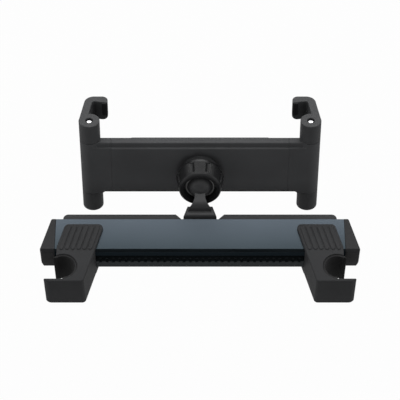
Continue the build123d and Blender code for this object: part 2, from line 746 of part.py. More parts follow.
def lip_corner():
    """Corner between the claw's web and its lip, as (inward, forward) from the column's axis."""
    forward = CLAW_REACH - CLAW_LIP
    return CLAW_SLOPE * forward - COLUMN_RADIUS + CLAW_WEB, forward


def claw_place(inward, forward):
    """Point of a right claw's plan."""
    return COLUMN_X - inward, COLUMN_U + forward


def claw():
    """Upper right claw: a knuckle on the pin, a leaning web and a lip that turns in over the tablet."""
    low = COLUMN_HALF + CLAW_SEAM
    high = low + CLAW_HEIGHT
    root = -COLUMN_RADIUS
    shoulder = claw_place(CLAW_SLOPE * CLAW_REACH + root, CLAW_REACH)
    nose = claw_place(CLAW_TIP, CLAW_REACH)
    hook_point = claw_place(CLAW_TIP, CLAW_REACH - CLAW_LIP - CLAW_HANG)
    corner = claw_place(*lip_corner())
    plan = make_face(
        Polyline(
            claw_place(root, 0),
            shoulder,
            nose,
            hook_point,
            corner,
            claw_place(root + CLAW_WEB, 0),
            close=True,
        )
    )
    for place, radius in ((shoulder, CLAW_SHOULDER), (nose, CLAW_NOSE), (corner, CLAW_INSIDE)):
        plan = fillet(plan.vertices().sort_by_distance((*place, 0))[0], radius)
    plan = plan + Pos(COLUMN_X, COLUMN_U) * Circle(COLUMN_RADIUS)
    body = extrude(Pos(0, 0, low) * plan, amount=CLAW_HEIGHT)
    tip_x = COLUMN_X - CLAW_TIP
    outer_x = COLUMN_X + COLUMN_RADIUS
    side = make_face(Polyline((tip_x, low), (outer_x, low), (outer_x, high), (tip_x, high), close=True))
    side = fillet(side.vertices().sort_by_distance((tip_x, low, 0))[0], CLAW_TIP_ROUND)
    plane = Plane(origin=(0, COLUMN_U + CLAW_REACH, 0), x_dir=(1, 0, 0), z_dir=(0, -1, 0))
    body = body & extrude(plane * side, amount=CLAW_REACH + COLUMN_RADIUS)
    bore = rod_z(PIN_RADIUS + PIN_FIT, low, high, COLUMN_X, COLUMN_U)
    sink = rod_z(PIN_SINK_RADIUS, high - PIN_RECESS - PIN_SINK_DEPTH, high, COLUMN_X, COLUMN_U)
    return body - bore - sink


def claw_pad():
    """Rubber strip on the inside of the upper right claw's lip, along its end."""
    low = COLUMN_HALF + CLAW_SEAM + CLAW_PAD_INSET
    corner_in, corner_out = lip_corner()
    fall = CLAW_HANG / (CLAW_TIP - corner_in)
    end = CLAW_TIP - CLAW_PAD_INSET
    start = end - CLAW_PAD_WIDTH
    edge = [(start, corner_out - fall * (start - corner_in)), (end, corner_out - fall * (end - corner_in))]
    outline = edge + [(x, y - CLAW_PAD) for x, y in reversed(edge)]
    plan = [claw_place(x, y) for x, y in outline]
    return prism_z(plan, low + CLAW_TIP_ROUND, low + CLAW_HEIGHT - 2 * CLAW_PAD_INSET)


def below(piece):
    """The same piece below the middle of the holder."""
    return mirror(piece, about=Plane.XY)


def held(piece):
    """A piece of the holder, leaning back about the ball as it stands at rest."""
    return Pos(0, BALL_Y, BALL_Z) * Rot(X=-REST_TILT_DEG) * piece


def pieces():
    """Every piece by its name."""
    named = {
        "track": track(),
        "top_plate": top_plate(),
        "rear_cover": rear_cover(),
        "ball_arm": ball_arm(),
        "foot_screws": foot_screws(),
        "friction_cup": held(friction_cup()),
        "clamp_ring": held(clamp_ring()),
        "lock_nut": held(lock_nut()),
        "ball_socket": held(ball_socket()),
        "back_shell": held(back_shell()),
        "front_shell": held(front_shell()),
        "housing_screws": held(housing_screws()),
        "front_pad": held(front_pad()),
    }
    on_rail = {
        "end_cap": end_cap(),
        "hook": hook(),
        "post_liner": post_liner(),
        "detent_spring": detent_spring(),
    }
    for name, piece in on_rail.items():
        named[name + "_right"] = piece
        named[name + "_left"] = other_side(piece)
    on_holder = {"arm": arm(), "arm_spring": arm_spring(), "hinge_pin": hinge_pin()}
    for name, piece in on_holder.items():
        named[name + "_right"] = held(piece)
        named[name + "_left"] = held(other_side(piece))
    for name, piece in {"claw": claw(), "claw_pad": claw_pad()}.items():
        for height, placed in {"upper": piece, "lower": below(piece)}.items():
            named[f"{name}_right_{height}"] = held(placed)
            named[f"{name}_left_{height}"] = held(other_side(placed))
    return named


os.makedirs("parts", exist_ok=True)
for name, piece in pieces().items():
    export_step(piece, f"parts/{name}.step")
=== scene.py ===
import json
from math import cos, pi, radians, sin

import bmesh
import bpy
import numpy as np
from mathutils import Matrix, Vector


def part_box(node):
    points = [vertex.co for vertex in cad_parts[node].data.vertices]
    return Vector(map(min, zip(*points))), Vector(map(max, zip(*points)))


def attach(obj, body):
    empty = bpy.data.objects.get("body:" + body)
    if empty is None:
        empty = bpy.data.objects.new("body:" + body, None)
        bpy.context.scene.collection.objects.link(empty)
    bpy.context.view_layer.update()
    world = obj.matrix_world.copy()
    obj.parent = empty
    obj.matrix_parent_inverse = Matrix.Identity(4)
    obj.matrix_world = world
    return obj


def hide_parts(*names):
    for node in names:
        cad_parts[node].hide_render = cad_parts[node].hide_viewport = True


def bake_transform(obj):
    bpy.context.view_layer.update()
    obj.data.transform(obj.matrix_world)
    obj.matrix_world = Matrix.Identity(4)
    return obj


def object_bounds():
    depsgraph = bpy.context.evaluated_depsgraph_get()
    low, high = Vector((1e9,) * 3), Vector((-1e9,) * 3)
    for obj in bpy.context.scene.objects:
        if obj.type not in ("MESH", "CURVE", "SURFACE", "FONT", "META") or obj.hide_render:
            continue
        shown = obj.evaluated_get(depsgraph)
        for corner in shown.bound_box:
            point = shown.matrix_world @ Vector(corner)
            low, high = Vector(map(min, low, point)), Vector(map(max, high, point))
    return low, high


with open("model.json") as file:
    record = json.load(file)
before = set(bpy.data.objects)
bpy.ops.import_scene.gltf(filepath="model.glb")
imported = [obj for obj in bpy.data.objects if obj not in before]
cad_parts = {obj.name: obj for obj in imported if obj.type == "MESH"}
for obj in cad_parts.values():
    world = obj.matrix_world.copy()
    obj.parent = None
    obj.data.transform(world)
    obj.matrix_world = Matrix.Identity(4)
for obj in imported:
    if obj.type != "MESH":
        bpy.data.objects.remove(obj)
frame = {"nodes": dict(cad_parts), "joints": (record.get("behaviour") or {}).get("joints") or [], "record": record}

cad_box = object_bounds()

# Track: the long moulding with the hooks' slot and the rack along its front lip.
# Dark blue-grey nylon, moulded in one piece, with its hard edges broken as a mould leaves them.
# Every piece that keeps its packed form is copied, its flat faces joined and its edges rounded.
TRACK_EDGE = 0.00015
TRACK_NYLON = dict(
    colours=((0.013, 0.0165, 0.0185, 1), (0.017, 0.021, 0.0235, 1)),
    roughness=(0.40, 0.48),
    grain=5200.0,
    depth=0.00002,
    specular=0.12,
)
WELD_DISTANCE = 2e-6
FLAT_ANGLE = radians(0.6)
HARD_ANGLE = radians(32.0)
NOISE_LOW = 0.3
NOISE_HIGH = 0.7
GRAIN_DETAIL = 3.0
CLOUD_DETAIL = 2.0
CLOUD_SCALE = 45.0
GRAIN_STRENGTH = 0.35
SOFT_EDGE = 0.0006
SOFT_EDGE_SAMPLES = 8

body_of = {node: body for body, nodes in frame["record"]["behaviour"]["bodies"].items() for node in nodes}


def dress(piece, material, node):
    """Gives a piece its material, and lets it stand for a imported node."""
    piece.data.materials.clear()
    piece.data.materials.append(material)
    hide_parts(node)
    return piece


def fit_in(piece, material, node):
    """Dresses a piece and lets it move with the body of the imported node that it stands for."""
    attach(piece, body_of[node])
    return dress(piece, material, node)


def eased(node, edge, material, segments=2):
    """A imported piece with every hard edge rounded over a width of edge, in metres."""
    mesh = frame["nodes"][node].data.copy()
    mesh.name = node + "_eased"
    if "custom_normal" in mesh.attributes:
        mesh.attributes.remove(mesh.attributes["custom_normal"])
    shape = bmesh.new()
    shape.from_mesh(mesh)
    bmesh.ops.remove_doubles(shape, verts=shape.verts, dist=WELD_DISTANCE)
    bmesh.ops.dissolve_limit(shape, angle_limit=FLAT_ANGLE, verts=shape.verts, edges=shape.edges)
    for face in shape.faces:
        face.smooth = True
    shape.to_mesh(mesh)
    shape.free()
    mesh.set_sharp_from_angle(angle=HARD_ANGLE)
    piece = bpy.data.objects.new(node + "_eased", mesh)
    bpy.context.scene.collection.objects.link(piece)
    rounding = piece.modifiers.new("rounded edges", "BEVEL")
    rounding.width = edge
    rounding.segments = segments
    rounding.limit_method = "ANGLE"
    rounding.angle_limit = HARD_ANGLE
    rounding.harden_normals = True
    return fit_in(piece, material, node)


def grain_group():
    """Fine spark-eroded grain and slow clouding of a moulded skin, both from noise."""
    group = bpy.data.node_groups.new("moulded_grain", "ShaderNodeTree")
    for label in ("Grain Scale", "Cloud Scale"):
        group.interface.new_socket(label, in_out="INPUT", socket_type="NodeSocketFloat")
    for label in ("Height", "Cloud"):
        group.interface.new_socket(label, in_out="OUTPUT", socket_type="NodeSocketFloat")
    nodes = group.nodes
    entry = nodes.new("NodeGroupInput")
    result = nodes.new("NodeGroupOutput")
    place = nodes.new("ShaderNodeTexCoord")
    for label, source, detail in (
        ("Height", "Grain Scale", GRAIN_DETAIL),
        ("Cloud", "Cloud Scale", CLOUD_DETAIL),
    ):
        noise = nodes.new("ShaderNodeTexNoise")
        noise.inputs["Detail"].default_value = detail
        group.links.new(place.outputs["Object"], noise.inputs["Vector"])
        group.links.new(entry.outputs[source], noise.inputs["Scale"])
        spread = nodes.new("ShaderNodeMapRange")
        spread.inputs["From Min"].default_value = NOISE_LOW
        spread.inputs["From Max"].default_value = NOISE_HIGH
        group.links.new(noise.outputs["Fac"], spread.inputs["Value"])
        group.links.new(spread.outputs["Result"], result.inputs[label])
    return group


moulded_grain = grain_group()


def moulded(name, colours, roughness, grain, depth, specular):
    """Moulded plastic or rubber: two near colours clouded together, an uneven sheen and a fine grain.

    Light turns over each edge across a short width, as on a mould's broken edges.
    """
    material = bpy.data.materials.new(name)
    material.use_nodes = True
    nodes = material.node_tree.nodes
    link = material.node_tree.links.new
    skin = nodes["Principled BSDF"]
    skin.inputs["Specular IOR Level"].default_value = specular
    texture = nodes.new("ShaderNodeGroup")
    texture.node_tree = moulded_grain
    texture.inputs["Grain Scale"].default_value = grain
    texture.inputs["Cloud Scale"].default_value = CLOUD_SCALE
    blend = nodes.new("ShaderNodeMix")
    blend.data_type = "RGBA"
    blend.inputs["A"].default_value, blend.inputs["B"].default_value = colours
    link(texture.outputs["Cloud"], blend.inputs["Factor"])
    link(blend.outputs["Result"], skin.inputs["Base Color"])
    sheen = nodes.new("ShaderNodeMapRange")
    sheen.inputs["To Min"].default_value, sheen.inputs["To Max"].default_value = roughness
    link(texture.outputs["Cloud"], sheen.inputs["Value"])
    link(sheen.outputs["Result"], skin.inputs["Roughness"])
    bump = nodes.new("ShaderNodeBump")
    bump.inputs["Strength"].default_value = GRAIN_STRENGTH
    bump.inputs["Distance"].default_value = depth
    link(texture.outputs["Height"], bump.inputs["Height"])
    turned = nodes.new("ShaderNodeBevel")
    turned.samples = SOFT_EDGE_SAMPLES
    turned.inputs["Radius"].default_value = SOFT_EDGE
    link(turned.outputs["Normal"], bump.inputs["Normal"])
    link(bump.outputs["Normal"], skin.inputs["Normal"])
    return material


track_skin = moulded("track_nylon", **TRACK_NYLON)
eased("track", TRACK_EDGE, track_skin, segments=1)

# Top plate: bent aluminium, blue-grey anodised, with fine lines along it from the rolling.
# It lies on the track and folds down over the front as far as the slot.
# Its colour is lighter at the back and darker towards the fold at the front: painted light, a fall of reflection
# and shade painted into the colour.
PLATE_EDGE = 0.0002
# front and back: the plate's colours at its front and at its back; the darker front is painted shade.
PLATE_ANODISING_AND_PAINTED_SHADE = dict(
    front=((0.0230, 0.0300, 0.0350, 1), (0.0255, 0.0332, 0.0385, 1)),
    back=((0.0490, 0.0595, 0.0710, 1), (0.0530, 0.0645, 0.0765, 1)),
    roughness=(0.34, 0.40),
    lines=(40.0, 5200.0, 5200.0),
    grazing=(0.34, 0.36, 0.385, 1),
)
BARE_METAL_GRAZING = (1, 1, 1, 1)
STREAK_DETAIL = 4.0
STREAK_STRENGTH = 0.15
STREAK_DEPTH = 0.00001


def drawn_metal(name, front, roughness, lines, back=None, grazing=BARE_METAL_GRAZING):
    """Metal with fine lines: noise drawn out by the scales in lines mixes two near colours.

    Over the plate's depth the colours go from front to back, which paints shade into the plate's front, and
    grazing tints its shine at a low angle.
    """
    material = bpy.data.materials.new(name)
    material.use_nodes = True
    nodes = material.node_tree.nodes
    link = material.node_tree.links.new
    skin = nodes["Principled BSDF"]
    skin.inputs["Metallic"].default_value = 1.0
    skin.inputs["Specular Tint"].default_value = grazing
    place = nodes.new("ShaderNodeTexCoord")
    draw = nodes.new("ShaderNodeMapping")
    draw.inputs["Scale"].default_value = lines
    link(place.outputs["Object"], draw.inputs["Vector"])
    streaks = nodes.new("ShaderNodeTexNoise")
    streaks.inputs["Scale"].default_value = 1.0
    streaks.inputs["Detail"].default_value = STREAK_DETAIL
    link(draw.outputs["Vector"], streaks.inputs["Vector"])
    parts = nodes.new("ShaderNodeSeparateXYZ")
    link(place.outputs["Object"], parts.inputs["Vector"])
    # For the plate, this ramp along Y paints shade into its colour, darker at the front and lighter at the back.
    depth = nodes.new("ShaderNodeMapRange")
    low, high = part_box("top_plate")
    depth.inputs["From Min"].default_value, depth.inputs["From Max"].default_value = low.y, high.y
    link(parts.outputs["Y"], depth.inputs["Value"])
    blend = nodes.new("ShaderNodeMix")
    blend.data_type = "RGBA"
    link(depth.outputs["Result"], blend.inputs["Factor"])
    for end, colours in (("A", front), ("B", back or front)):
        tone = nodes.new("ShaderNodeMix")
        tone.data_type = "RGBA"
        tone.inputs["A"].default_value, tone.inputs["B"].default_value = colours
        link(streaks.outputs["Fac"], tone.inputs["Factor"])
        link(tone.outputs["Result"], blend.inputs[end])
    link(blend.outputs["Result"], skin.inputs["Base Color"])
    texture = nodes.new("ShaderNodeGroup")
    texture.node_tree = moulded_grain
    texture.inputs["Cloud Scale"].default_value = lines[0]
    sheen = nodes.new("ShaderNodeMapRange")
    sheen.inputs["To Min"].default_value, sheen.inputs["To Max"].default_value = roughness
    link(texture.outputs["Cloud"], sheen.inputs["Value"])
    link(sheen.outputs["Result"], skin.inputs["Roughness"])
    bump = nodes.new("ShaderNodeBump")
    bump.inputs["Strength"].default_value = STREAK_STRENGTH
    bump.inputs["Distance"].default_value = STREAK_DEPTH
    link(streaks.outputs["Fac"], bump.inputs["Height"])
    link(bump.outputs["Normal"], skin.inputs["Normal"])
    return material


# The plate's material holds painted shade, darker towards its front.
plate_skin = drawn_metal("blue_anodised_painted_shade", **PLATE_ANODISING_AND_PAINTED_SHADE)
eased("top_plate", PLATE_EDGE, plate_skin)

# End caps and rear cover: satin black mouldings that close the track at its ends and its back.
# The caps plug into the track's cells, and the cover snaps on with square tabs.
CAP_EDGE = 0.00035
COVER_EDGE = 0.0003
BLACK_GRAIN = 4600.0
BLACK_MOULDING = dict(
    colours=((0.0175, 0.0178, 0.0187, 1), (0.0215, 0.0219, 0.0229, 1)),
    roughness=(0.44, 0.50),
    grain=BLACK_GRAIN,
    depth=0.00003,
    specular=0.12,
)
COVER_MOULDING = dict(
    colours=((0.0280, 0.0285, 0.0299, 1), (0.0344, 0.0350, 0.0366, 1)),
    roughness=(0.44, 0.50),
    grain=BLACK_GRAIN,
    depth=0.00003,
    specular=0.12,
)

black_skin = moulded("black_moulding", **BLACK_MOULDING)
for end in ("left", "right"):
    eased("end_cap_" + end, CAP_EDGE, black_skin, segments=3)
cover_skin = moulded("cover_moulding", **COVER_MOULDING)
eased("rear_cover", COVER_EDGE, cover_skin)

# Hooks: notched black blocks with a ribbed thumb plate over the rail and a tongue in its slot.
# Moulded in one piece each; a rubber liner lies in the notch and a leaf spring under the tongue.
HOOK_EDGE = 0.00025
LINER_EDGE = 0.00035
STRIP_EDGE = 0.00005
HOOK_MOULDING = dict(
    colours=((0.0275, 0.0280, 0.0292, 1), (0.0335, 0.0341, 0.0355, 1)),
    roughness=(0.46, 0.54),
    grain=BLACK_GRAIN,
    depth=0.00003,
    specular=0.06,
)
LINER_RUBBER = dict(
    colours=((0.0065, 0.0066, 0.007, 1), (0.0095, 0.0096, 0.010, 1)),
    roughness=(0.62, 0.72),
    grain=3000.0,
    depth=0.00003,
    specular=0.2,
)
SPRING_STRIP = dict(
    front=((0.44, 0.44, 0.46, 1), (0.55, 0.55, 0.57, 1)),
    roughness=(0.22, 0.30),
    lines=(300.0, 6000.0, 6000.0),
)

hook_skin = moulded("hook_moulding", **HOOK_MOULDING)
rubber_skin = moulded("liner_rubber", **LINER_RUBBER)
strip_skin = drawn_metal("spring_strip", **SPRING_STRIP)
for end in ("left", "right"):
    eased("hook_" + end, HOOK_EDGE, hook_skin)
    eased("post_liner_" + end, LINER_EDGE, rubber_skin)
    eased("detent_spring_" + end, STRIP_EDGE, strip_skin)

# Ball arm: a black casting with its foot on the rail's back, a wedge-shaped stem and the ball.
# Cast in one piece and tumbled, which rounds its edges.
# Two dark plated screws with cross recesses hold its foot on the track.
ARM_CAST_EDGE = 0.0004
BLACK_CASTING = dict(
    colours=((0.0265, 0.0270, 0.0282, 1), (0.0315, 0.0320, 0.0333, 1)),
    roughness=(0.40, 0.47),
    grain=3800.0,
    depth=0.00003,
    specular=0.25,
)
DARK_PLATING = dict(
    front=((0.20, 0.20, 0.21, 1), (0.27, 0.27, 0.28, 1)),
    roughness=(0.28, 0.36),
    lines=(900.0, 4000.0, 900.0),
)
SMOOTH_ANGLE = radians(38.0)
SCREW_SHANK = 0.0020
SCREW_HEAD_DEPTH = 0.00225
SCREW_ROUND = 0.0004
SCREW_ROUND_STEPS = 5
SCREW_CENTRE = 0.00006
SCREW_FACE_RINGS = 30
SCREW_RING_POINTS = 96
RECESS_HALF_WIDTH = 0.00045
RECESS_HALF_LENGTH = 0.0016
RECESS_DEPTH = 0.0009
RECESS_RAMP = 0.0003

cast_skin = moulded("black_casting", **BLACK_CASTING)
eased("ball_arm", ARM_CAST_EDGE, cast_skin)


def skin_over(name, points, faces):
    """Object at the origin from points and faces, its normals turned outwards and its hard edges marked."""
    mesh = bpy.data.meshes.new(name)
    mesh.from_pydata(points.reshape(-1, 3).tolist(), [], faces)
    shape = bmesh.new()
    shape.from_mesh(mesh)
    bmesh.ops.recalc_face_normals(shape, faces=shape.faces)
    shape.to_mesh(mesh)
    shape.free()
    mesh.polygons.foreach_set("use_smooth", np.ones(len(mesh.polygons), bool))
    mesh.set_sharp_from_angle(angle=SMOOTH_ANGLE)
    piece = bpy.data.objects.new(name, mesh)
    bpy.context.scene.collection.objects.link(piece)
    return piece


def ringed(name, rings):
    """Closed skin over rows of ring points: quads between neighbouring rings, a flat face at each end."""
    rows, columns = rings.shape[:2]
    index = np.arange(rows * columns).reshape(rows, columns)
    turn = np.roll(index, -1, axis=1)
    quads = np.stack([index[:-1], turn[:-1], turn[1:], index[1:]], axis=-1).reshape(-1, 4)
    return skin_over(name, rings, quads.tolist() + [index[0].tolist(), index[-1].tolist()])


def in_slot(offset, half):
    """One inside a slot of this half width and none outside it, with a short ramp between."""
    return np.clip((half - np.abs(offset)) / RECESS_RAMP + 0.5, 0, 1)


def cross_screw(name, x, z, tip, top, head):
    """Screw along Y: a profile turned about its axis, with two crossed slots sunk in the face of its head."""
    seat = top - SCREW_HEAD_DEPTH
    bend = np.linspace(0, pi / 2, SCREW_ROUND_STEPS)[1:-1]
    face = np.linspace(head - SCREW_ROUND, SCREW_CENTRE, SCREW_FACE_RINGS)
    radius = np.concatenate([
        [SCREW_SHANK / 2, SCREW_SHANK, SCREW_SHANK, head, head],
        head - SCREW_ROUND * (1 - np.cos(bend)),
        face,
    ])
    along = np.concatenate([
        [tip, tip + SCREW_SHANK / 2, seat, seat, top - SCREW_ROUND],
        top - SCREW_ROUND * (1 - np.sin(bend)),
        np.full(face.shape, top),
    ])
    angle = np.linspace(0, 2 * pi, SCREW_RING_POINTS, endpoint=False)
    across = radius[:, None] * np.cos(angle)
    above = radius[:, None] * np.sin(angle)
    upright = in_slot(across, RECESS_HALF_WIDTH) * in_slot(above, RECESS_HALF_LENGTH)
    level = in_slot(across, RECESS_HALF_LENGTH) * in_slot(above, RECESS_HALF_WIDTH)
    sunk = (along == top)[:, None] * np.maximum(upright, level)
    return ringed(name, np.stack([x + across, along[:, None] - RECESS_DEPTH * sunk, z + above], axis=-1))


screw_skin = drawn_metal("dark_plating", **DARK_PLATING)
low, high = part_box("foot_screws")
screw_head = (high.z - low.z) / 2
for end, side in (("left", -1), ("right", 1)):
    screw_x = side * (high.x - screw_head)
    screw = cross_screw("foot_screw_" + end, screw_x, (low.z + high.z) / 2, low.y, high.y, screw_head)
    fit_in(screw, screw_skin, "foot_screws")

# Ball joint: the cup and ring that grip the ball, the threaded socket and the fluted lock nut.
# The cup and ring are slippery grey plastic, and the socket and nut are black mouldings.
# The socket's thread runs out before both of its ends, and the nut screws down on it.
JOINT_EDGE = 0.00015
NUT_EDGE = 0.0004
NUT_MOULDING = dict(
    colours=((0.0085, 0.0087, 0.0092, 1), (0.0110, 0.0112, 0.0118, 1)),
    roughness=(0.26, 0.32),
    grain=BLACK_GRAIN,
    depth=0.00002,
    specular=0.19,
)
SLIPPERY_GREY = dict(
    colours=((0.10, 0.10, 0.10, 1), (0.125, 0.125, 0.125, 1)),
    roughness=(0.30, 0.38),
    grain=5200.0,
    depth=0.00001,
    specular=0.4,
)
SOCKET_RADIUS = 0.0116
SOCKET_BORE = 0.01002
SOCKET_FRONT = -0.0002
SOCKET_BACK = 0.0128
SOCKET_CENTRE = 0.0002
SOCKET_WALL_RINGS = 150
SOCKET_RING_POINTS = 120
SEAT_TIP = 0.011056
SEAT_FOOT = 0.006384
SPIGOT_RADIUS = 0.0070
SPIGOT_END = 0.0140
THREAD_PITCH = 0.0018
THREAD_DEPTH = 0.0006
THREAD_RUN_OUT = 0.0012

roll = next(joint for joint in frame["joints"] if joint["name"] == "roll")
ball = np.array(roll["pos_m"])
forward = np.array(roll["axis"])
upward = np.cross((1.0, 0.0, 0.0), forward)


def on_holder(across, ahead, above):
    """Points from their places along the holder's own axes, measured from the ball's centre."""
    across, ahead, above = np.broadcast_arrays(across, ahead, above)
    return ball + across[..., None] * (1, 0, 0) + ahead[..., None] * forward + above[..., None] * upward


def threaded_socket():
    """Collar turned about the forward axis; its wall dips by a helix, the cosine of depth less turn."""
    wall = np.linspace(SOCKET_FRONT, SOCKET_BACK, SOCKET_WALL_RINGS)
    radius = np.concatenate([
        [SOCKET_CENTRE, SOCKET_BORE, SOCKET_BORE],
        np.full(wall.shape, SOCKET_RADIUS),
        [SPIGOT_RADIUS, SPIGOT_RADIUS],
    ])
    ahead = np.concatenate([[SEAT_TIP, SEAT_FOOT, SOCKET_FRONT], wall, [SOCKET_BACK, SPIGOT_END]])
    angle = np.linspace(0, 2 * pi, SOCKET_RING_POINTS, endpoint=False)
    helix = 0.5 - 0.5 * np.cos(2 * pi * ahead[:, None] / THREAD_PITCH - angle)
    start = np.clip((ahead - SOCKET_FRONT) / THREAD_RUN_OUT, 0, 1)
    stop = np.clip((SOCKET_BACK - ahead) / THREAD_RUN_OUT, 0, 1)
    share = (radius == SOCKET_RADIUS) * start * stop
    cut = radius[:, None] - THREAD_DEPTH * share[:, None] * helix
    return ringed("threaded_socket", on_holder(cut * np.cos(angle), ahead[:, None], cut * np.sin(angle)))


slippery_skin = moulded("slippery_grey", **SLIPPERY_GREY)
nut_skin = moulded("nut_moulding", **NUT_MOULDING)
eased("friction_cup", JOINT_EDGE, slippery_skin)
eased("clamp_ring", JOINT_EDGE, slippery_skin)
fit_in(threaded_socket(), black_skin, "ball_socket")
eased("lock_nut", NUT_EDGE, nut_skin, segments=3)

# Holder body: two black shells, split parallel to the tablet and screwed together under the pad.
# The pad is a grooved rubber mat with rounded edges, stuck to the front shell.
# Inside, a wire coil pulls each arm towards the middle; in the real holder it stretches as the arm slides out, but
# here each coil is drawn at one length and stays in place.
SHELL_EDGE = 0.0001
HOUSING_SCREW_EDGE = 0.0002
SHELL_MOULDING = dict(
    colours=((0.0480, 0.0490, 0.0511, 1), (0.0535, 0.0546, 0.0569, 1)),
    roughness=(0.44, 0.50),
    grain=BLACK_GRAIN,
    depth=0.00003,
    specular=0.1,
)
PAD_HALF_LENGTH = 0.0430
PAD_HALF_HEIGHT = 0.0204
PAD_BACK = 0.0198
PAD_THICK = 0.0006
PAD_ROUND = 0.0003
PAD_ROUND_STEPS = 5
PAD_COLUMNS = 24
PAD_ROWS = 240
GROOVE_PITCH = 0.0024
GROOVE_WIDTH = 0.0004
GROOVE_DEPTH = 0.00025
GROOVE_MARGIN = 0.0025
COIL_RADIUS = 0.00135
COIL_WIRE = 0.00025
COIL_TURNS = 28
COIL_CLOSED_TURNS = 0.9
COIL_TURN_STEPS = 20
WIRE_RING_POINTS = 8


def eased_steps(half, steps):
    """Places from -half to half, drawn together at both ends where the pad's edge is rounded."""
    corner = PAD_ROUND * (1 - np.cos(np.linspace(0, pi / 2, PAD_ROUND_STEPS)))
    inner = np.linspace(PAD_ROUND - half, half - PAD_ROUND, steps)
    return np.concatenate([corner[:-1] - half, inner, half - corner[-2::-1]])


def grooved_pad():
    """Mat: a height field that falls in a quarter circle at its border, less bell-shaped grooves."""
    across, above = np.meshgrid(
        eased_steps(PAD_HALF_LENGTH, PAD_COLUMNS),
        eased_steps(PAD_HALF_HEIGHT, PAD_ROWS),
    )
    inside = np.minimum(PAD_HALF_LENGTH - np.abs(across), PAD_HALF_HEIGHT - np.abs(above))
    short = PAD_ROUND - np.minimum(inside, PAD_ROUND)
    offset = above - GROOVE_PITCH * np.round(above / GROOVE_PITCH)
    fade = np.clip((inside - GROOVE_MARGIN) / GROOVE_MARGIN, 0, 1)
    groove = GROOVE_DEPTH * fade * np.exp(-((offset / GROOVE_WIDTH) ** 2))
    rise = PAD_THICK - PAD_ROUND + np.sqrt(PAD_ROUND**2 - short**2) - groove
    points = on_holder(np.pad(across, 1, "edge"), PAD_BACK + np.pad(rise, 1), np.pad(above, 1, "edge"))
    index = np.arange(points.shape[0] * points.shape[1]).reshape(points.shape[:2])
    corners = [index[:-1, :-1], index[:-1, 1:], index[1:, 1:], index[1:, :-1]]
    quads = np.stack(corners, axis=-1).reshape(-1, 4)
    border = np.concatenate([index[0, :-1], index[:-1, -1], index[-1, :0:-1], index[:0:-1, 0]])
    return skin_over("grooved_pad", points, quads.tolist() + [border.tolist()])


def wire_coil(name, low, high):
    """Wire round a helix along X between two corners, its first and last turns closed."""
    turn = np.linspace(0, COIL_TURNS, COIL_TURNS * COIL_TURN_STEPS + 1)[:, None]
    lead = np.clip((turn - COIL_CLOSED_TURNS) / (COIL_TURNS - 2 * COIL_CLOSED_TURNS), 0, 1)
    section = np.linspace(0, 2 * pi, WIRE_RING_POINTS, endpoint=False)
    radius = COIL_RADIUS + COIL_WIRE * np.cos(section)
    along = low.x + COIL_WIRE + (high.x - low.x - 2 * COIL_WIRE) * lead + COIL_WIRE * np.sin(section)
    middle = (low + high) / 2
    y = middle.y + radius * np.cos(2 * pi * turn)
    z = middle.z + radius * np.sin(2 * pi * turn)
    return ringed(name, np.stack([along, y, z], axis=-1))


shell_skin = moulded("shell_moulding", **SHELL_MOULDING)
for half in ("back_shell", "front_shell"):
    eased(half, SHELL_EDGE, shell_skin)
eased("housing_screws", HOUSING_SCREW_EDGE, screw_skin)
fit_in(grooved_pad(), rubber_skin, "front_pad")
for end in ("left", "right"):
    low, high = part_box("arm_spring_" + end)
    spring = wire_coil("wire_coil_" + end, low, high)
    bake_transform(spring)
    dress(spring, strip_skin, "arm_spring_" + end)

# Arms and claws: each arm carries a column, and a steel pin through it turns two folding claws.
# Satin black mouldings with rubber strips inside the claws' lips.
# The pins are turned steel with broken edges and slightly crowned, polished ends.
ARM_EDGE = 0.0001
CLAW_EDGE = 0.00035
LIP_STRIP_EDGE = 0.0002
CLAW_MOULDING = dict(
    colours=((0.0385, 0.0393, 0.0410, 1), (0.0435, 0.0444, 0.0463, 1)),
    roughness=(0.42, 0.48),
    grain=BLACK_GRAIN,
    depth=0.00003,
    specular=0.12,
)
BRIGHT_PIN = dict(
    front=((0.55, 0.55, 0.56, 1), (0.62, 0.62, 0.63, 1)),
    roughness=(0.10, 0.16),
    lines=(300.0, 3000.0, 3000.0),
)
COLUMN_ACROSS = 0.0690
COLUMN_AHEAD = 0.0192
PIN_RADIUS = 0.0016
PIN_HALF = 0.0346
PIN_ROUND = 0.0004
PIN_ROUND_STEPS = 6
PIN_CROWN = 0.00012
PIN_CENTRE = 0.00005
PIN_FACE_RINGS = 8
PIN_RING_POINTS = 48


def crowned_pin(name, across):
    """Pin along the column: a cylinder whose ends turn in by a quarter circle and rise to a low crown."""
    bend = np.linspace(0, pi / 2, PIN_ROUND_STEPS)
    face = np.linspace(PIN_RADIUS - PIN_ROUND, PIN_CENTRE, PIN_FACE_RINGS)[1:]
    radius = np.concatenate([PIN_RADIUS - PIN_ROUND * (1 - np.cos(bend)), face])
    reach = np.concatenate([
        PIN_HALF - PIN_CROWN - PIN_ROUND * (1 - np.sin(bend)),
        PIN_HALF - PIN_CROWN * (face / (PIN_RADIUS - PIN_ROUND)) ** 2,
    ])
    radius = np.concatenate([radius[::-1], radius])[:, None]
    above = np.concatenate([-reach[::-1], reach])[:, None]
    angle = np.linspace(0, 2 * pi, PIN_RING_POINTS, endpoint=False)
    sideways = across + radius * np.cos(angle)
    ahead = COLUMN_AHEAD + radius * np.sin(angle)
    return ringed(name, on_holder(sideways, ahead, above))


claw_skin = moulded("claw_moulding", **CLAW_MOULDING)
steel_skin = drawn_metal("bright_pin", **BRIGHT_PIN)
for end, side in (("left", -1), ("right", 1)):
    eased("arm_" + end, ARM_EDGE, shell_skin)
    fit_in(crowned_pin("crowned_pin_" + end, side * COLUMN_ACROSS), steel_skin, "hinge_pin_" + end)
    for height in ("upper", "lower"):
        eased(f"claw_{end}_{height}", CLAW_EDGE, claw_skin, segments=3)
        eased(f"claw_pad_{end}_{height}", LIP_STRIP_EDGE, rubber_skin)

